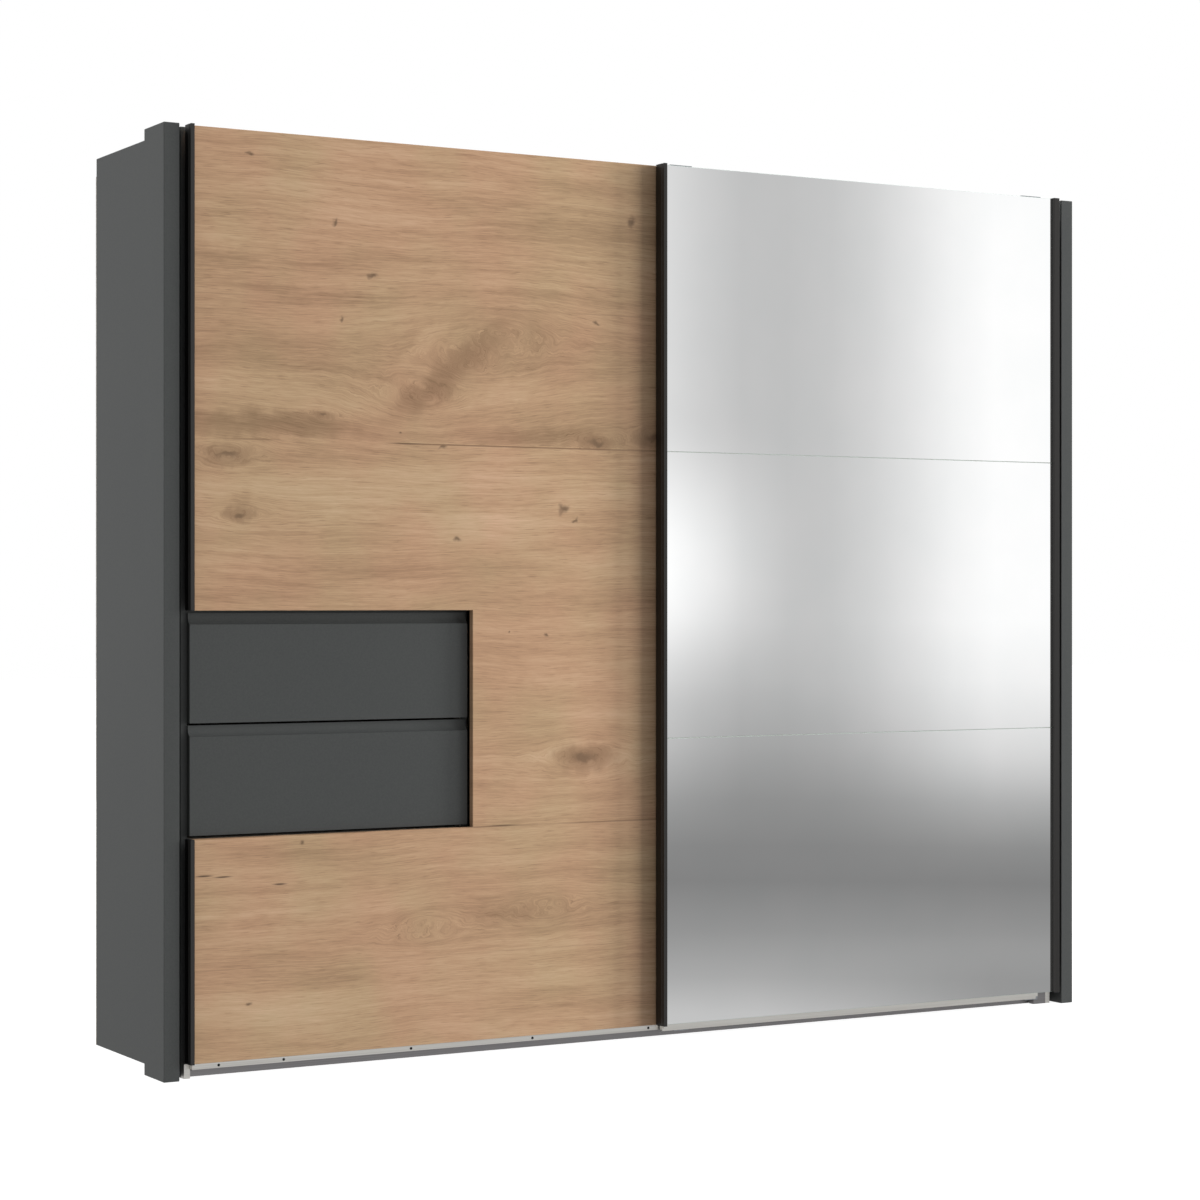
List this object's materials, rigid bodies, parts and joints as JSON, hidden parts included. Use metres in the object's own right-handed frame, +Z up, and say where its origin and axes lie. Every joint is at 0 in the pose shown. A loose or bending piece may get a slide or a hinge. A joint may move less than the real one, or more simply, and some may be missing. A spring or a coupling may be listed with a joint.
{
  "type": "sliding door wardrobe",
  "caption": "Sliding door wardrobe with a plank-faced door, a mirror door, and drawers that open through a cut-out in the plank-faced door.",
  "frame": {"origin": "on the floor, midway across the width and the depth", "axes": "+X to the right seen from the front, +Y from the front to the back, +Z up"},
  "size_m": [2.5, 0.616, 2.084],
  "materials": {
    "graphite_board": "graphite melamine, matt, on chipboard",
    "inner_board": "linen-look melamine, matt, on chipboard",
    "back_hardboard": "lacquered hardboard",
    "plank_oak_board": "plank oak decor, matt, on chipboard",
    "mirror_glass": "silvered float glass",
    "dark_aluminium": "dark anodised, satin",
    "rail_aluminium": "natural anodised, satin",
    "grey_aluminium": "grey anodised, satin",
    "zinc_steel": "zinc plated",
    "clothes_rail_chrome": "chrome plated steel tube",
    "grey_plastic": "moulded",
    "black_plastic": "moulded"
  },
  "bodies": {
    "carcass": {"side_panel_left": "graphite_board", "side_panel_right": "graphite_board", "pilaster_left": "graphite_board", "pilaster_right": "graphite_board", "pilaster_spacers": "graphite_board", "plinth": "graphite_board", "drawer_partition": "inner_board", "centre_partition": "inner_board", "top_panel_left": "inner_board", "top_panel_right": "inner_board", "bottom_panel_left": "inner_board", "bottom_panel_right": "inner_board", "hat_shelf_left": "inner_board", "hat_shelf_right": "inner_board", "drawer_case_top": "inner_board", "drawer_case_bottom": "inner_board", "back_panel_left": "back_hardboard", "back_panel_right": "back_hardboard", "rail_end_brackets": "rail_aluminium", "top_running_rail": "grey_aluminium", "bottom_guide_rail": "grey_aluminium", "cam_locks": "zinc_steel", "shelf_pins": "zinc_steel", "case_runners": "zinc_steel", "clothes_rails": "clothes_rail_chrome", "rail_sockets": "grey_plastic", "back_joining_strip": "grey_plastic"},
    "wood_door": {"wood_door_panel": "plank_oak_board", "wood_door_handles": "dark_aluminium", "wood_door_bottom_strip": "rail_aluminium", "wood_door_strip_screws": "zinc_steel", "wood_door_carriages": "zinc_steel", "wood_door_guides": "zinc_steel"},
    "mirror_door": {"mirror_door_board": "graphite_board", "mirror_pane_bottom": "mirror_glass", "mirror_pane_middle": "mirror_glass", "mirror_pane_top": "mirror_glass", "mirror_door_handle_left": "dark_aluminium", "mirror_door_handle_right": "dark_aluminium", "mirror_door_bottom_strip": "rail_aluminium", "mirror_door_carriages": "zinc_steel", "mirror_door_guides": "zinc_steel"},
    "upper_drawer": {"upper_drawer_front": "graphite_board", "upper_drawer_sides": "inner_board", "upper_drawer_back": "inner_board", "upper_drawer_bottom": "back_hardboard", "upper_drawer_runners": "zinc_steel"},
    "lower_drawer": {"lower_drawer_front": "graphite_board", "lower_drawer_sides": "inner_board", "lower_drawer_back": "inner_board", "lower_drawer_bottom": "back_hardboard", "lower_drawer_runners": "zinc_steel"},
    "wood_wheel_left": {"wood_door_wheel_left": "black_plastic"},
    "wood_wheel_right": {"wood_door_wheel_right": "black_plastic"},
    "mirror_wheel_left": {"mirror_door_wheel_left": "black_plastic"},
    "mirror_wheel_right": {"mirror_door_wheel_right": "black_plastic"},
    "foot_1": {"levelling_foot_1": "black_plastic"},
    "foot_2": {"levelling_foot_2": "black_plastic"},
    "foot_3": {"levelling_foot_3": "black_plastic"},
    "foot_4": {"levelling_foot_4": "black_plastic"}
  },
  "joints": [
    {"name": "wood_door_slide", "type": "slide", "parent": "carcass", "child": "wood_door", "axis": [1, 0, 0], "range_m": [0, 1.16]},
    {"name": "mirror_door_slide", "type": "slide", "parent": "carcass", "child": "mirror_door", "axis": [1, 0, 0], "range_m": [-1.16, 0]},
    {"name": "upper_drawer_slide", "type": "slide", "parent": "carcass", "child": "upper_drawer", "axis": [0, -1, 0], "range_m": [0, 0.35]},
    {"name": "lower_drawer_slide", "type": "slide", "parent": "carcass", "child": "lower_drawer", "axis": [0, -1, 0], "range_m": [0, 0.35]},
    {"name": "wood_wheel_left_spin", "type": "hinge", "parent": "wood_door", "child": "wood_wheel_left", "pos_m": [-1.122, -0.213, 2.0627], "axis": [0, 1, 0], "continuous": true},
    {"name": "wood_wheel_right_spin", "type": "hinge", "parent": "wood_door", "child": "wood_wheel_right", "pos_m": [-0.067, -0.213, 2.0627], "axis": [0, 1, 0], "continuous": true},
    {"name": "mirror_wheel_left_spin", "type": "hinge", "parent": "mirror_door", "child": "mirror_wheel_left", "pos_m": [0.062, -0.177, 2.0627], "axis": [0, 1, 0], "continuous": true},
    {"name": "mirror_wheel_right_spin", "type": "hinge", "parent": "mirror_door", "child": "mirror_wheel_right", "pos_m": [1.117, -0.177, 2.0627], "axis": [0, 1, 0], "continuous": true},
    {"name": "foot_1_turn", "type": "hinge", "parent": "carcass", "child": "foot_1", "pos_m": [-0.6, -0.14, 0], "axis": [0, 0, 1], "continuous": true},
    {"name": "foot_2_turn", "type": "hinge", "parent": "carcass", "child": "foot_2", "pos_m": [-0.6, 0.24, 0], "axis": [0, 0, 1], "continuous": true},
    {"name": "foot_3_turn", "type": "hinge", "parent": "carcass", "child": "foot_3", "pos_m": [0.6, -0.14, 0], "axis": [0, 0, 1], "continuous": true},
    {"name": "foot_4_turn", "type": "hinge", "parent": "carcass", "child": "foot_4", "pos_m": [0.6, 0.24, 0], "axis": [0, 0, 1], "continuous": true}
  ],
  "couplings": [
    {"joint": "wood_wheel_left_spin", "follows": "wood_door_slide", "rad_per_m": 80},
    {"joint": "wood_wheel_right_spin", "follows": "wood_door_slide", "rad_per_m": 80},
    {"joint": "mirror_wheel_left_spin", "follows": "mirror_door_slide", "rad_per_m": 80},
    {"joint": "mirror_wheel_right_spin", "follows": "mirror_door_slide", "rad_per_m": 80}
  ]
}
